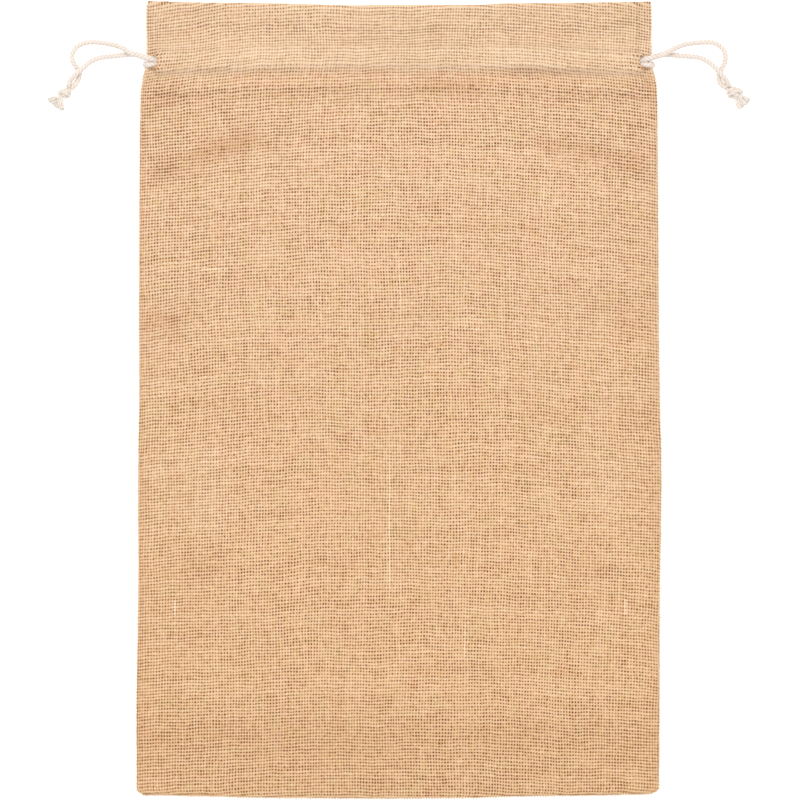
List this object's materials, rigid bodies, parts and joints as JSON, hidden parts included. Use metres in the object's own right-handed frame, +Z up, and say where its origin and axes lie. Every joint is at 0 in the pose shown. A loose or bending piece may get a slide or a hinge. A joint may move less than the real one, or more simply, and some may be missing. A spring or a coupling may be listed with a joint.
{
  "type": "burlap drawstring sack",
  "caption": "Flat natural burlap sack lying on its back, open at the top, with a deep hemmed heading, a casing and knotted cotton drawcords at both sides.",
  "frame": {"origin": "centre of the cloth's outline at the floor, under the back panel", "axes": "+Y along the sack to its mouth, +X across it to the viewer's right from above, +Z up through the front panel"},
  "size_m": [0.41, 0.4652, 0.0204],
  "materials": {
    "burlap": "coarse plain weave of natural jute, matt, with slubs and small holes",
    "cotton_cord": "three-strand twisted undyed cotton, matt"
  },
  "bodies": {
    "root": {"front_panel": "burlap", "back_panel": "burlap", "left_drawcord": "cotton_cord", "right_drawcord": "cotton_cord", "left_front_end": "cotton_cord", "left_back_end": "cotton_cord", "right_front_end": "cotton_cord", "right_back_end": "cotton_cord", "left_knot": "cotton_cord", "right_knot": "cotton_cord"}
  },
  "joints": []
}
